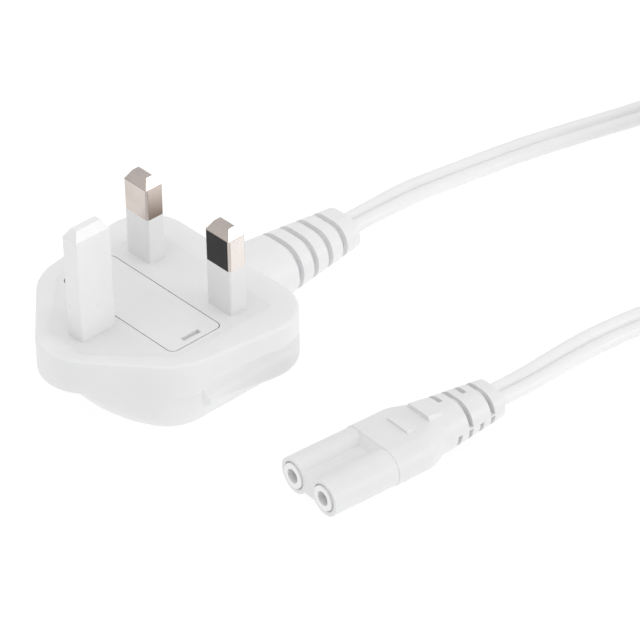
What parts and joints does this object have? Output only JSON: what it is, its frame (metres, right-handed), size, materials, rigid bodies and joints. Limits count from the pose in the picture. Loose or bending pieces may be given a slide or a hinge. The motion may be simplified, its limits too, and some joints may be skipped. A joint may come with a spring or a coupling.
{
  "type": "mains power lead",
  "caption": "Flat mains lead: a fused plug with rectangular pins at one end and a figure-eight appliance connector at the other.",
  "frame": {"origin": "on the plug's flat back, midway between the line and neutral pins", "axes": "+Z along the pins, out of the plug's face; +Y from those two pins towards the earth pin; the cord leaves the plug along -Y"},
  "size_m": [0.1054, 0.2152, 0.0392],
  "materials": {
    "housing": "soft white moulding, satin",
    "frame": "white, satin",
    "earth_pin": "white, satin",
    "plated": "nickel plate, polished",
    "sleeve": "white",
    "carrier": "white, satin",
    "ceramic": "glazed ceramic",
    "strip_brass": "bare",
    "brown_core": "brown insulation",
    "blue_core": "blue insulation",
    "cord": "soft white sheath, satin",
    "tie": "clear-white tie",
    "connector": "soft white moulding, satin",
    "insert": "white, satin"
  },
  "bodies": {
    "lead": {"plug_body": "housing", "pin_frame": "frame", "earth_pin": "earth_pin", "line_pin": "plated", "neutral_pin": "plated", "line_sleeve": "sleeve", "neutral_sleeve": "sleeve", "pin_clip": "strip_brass", "line_clip": "strip_brass", "neutral_strip": "strip_brass", "line_core": "brown_core", "neutral_core": "blue_core", "cord_plug_run": "cord", "cord_coil": "cord", "coil_tie": "tie", "cord_connector_run": "cord", "connector_body": "connector", "connector_insert": "insert", "line_contact": "plated", "neutral_contact": "plated", "connector_line_core": "brown_core", "connector_neutral_core": "blue_core"},
    "fuse_drawer": {"fuse_carrier": "carrier", "fuse_barrel": "ceramic", "fuse_cap_pin_side": "plated", "fuse_cap_line_side": "plated"}
  },
  "joints": [
    {"name": "fuse_slide", "type": "slide", "parent": "lead", "child": "fuse_drawer", "axis": [0, 0, 1], "range_m": [0, 0.012]}
  ]
}
